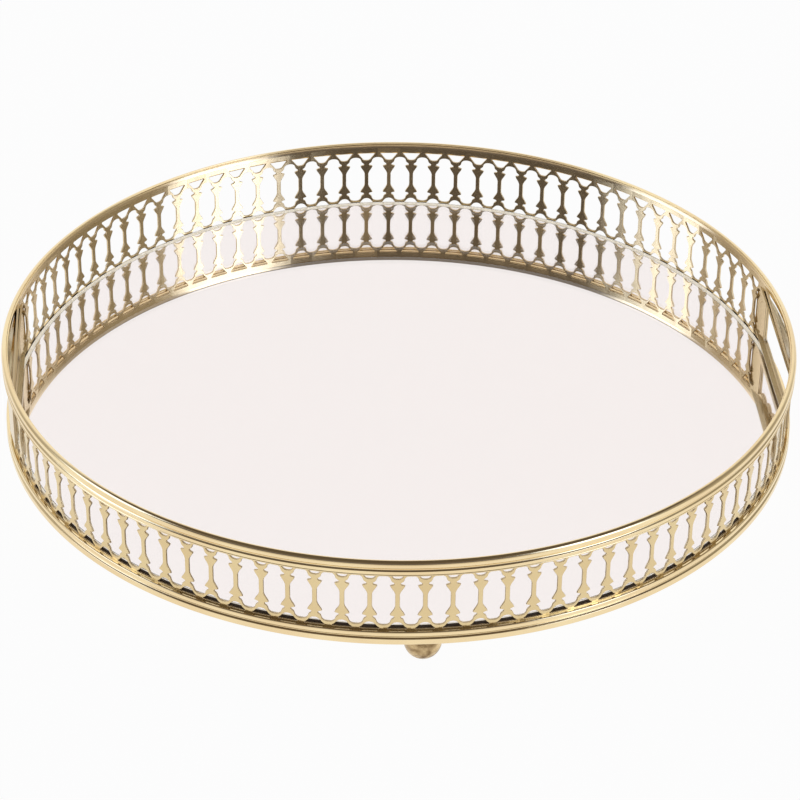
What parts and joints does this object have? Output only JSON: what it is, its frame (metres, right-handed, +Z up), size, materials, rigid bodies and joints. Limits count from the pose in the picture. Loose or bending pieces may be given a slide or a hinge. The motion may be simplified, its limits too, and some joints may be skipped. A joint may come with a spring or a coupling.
{
  "type": "mirrored vanity tray",
  "caption": "Round mirrored dresser tray with a pierced metal gallery between rolled rims, two hand-holes and ball feet.",
  "frame": {"origin": "on the surface the tray stands on, under the tray's centre", "axes": "+Z up along the tray's axis; -Y towards the foot at the middle of the front; the hand-holes are on +X and -X"},
  "size_m": [0.3, 0.3, 0.0468],
  "materials": {
    "rim_brass": "bright gold-washed brass",
    "gallery_brass": "satin gold-washed brass",
    "board": "plain fibreboard",
    "mirror": "silvered glass"
  },
  "bodies": {
    "root": {"top_rim": "rim_brass", "gallery_front": "gallery_brass", "gallery_back": "gallery_brass", "handle_frame_left": "gallery_brass", "handle_frame_right": "gallery_brass", "base_pan": "rim_brass", "backing_board": "board", "mirror": "mirror", "ball_feet": "rim_brass"}
  },
  "joints": []
}
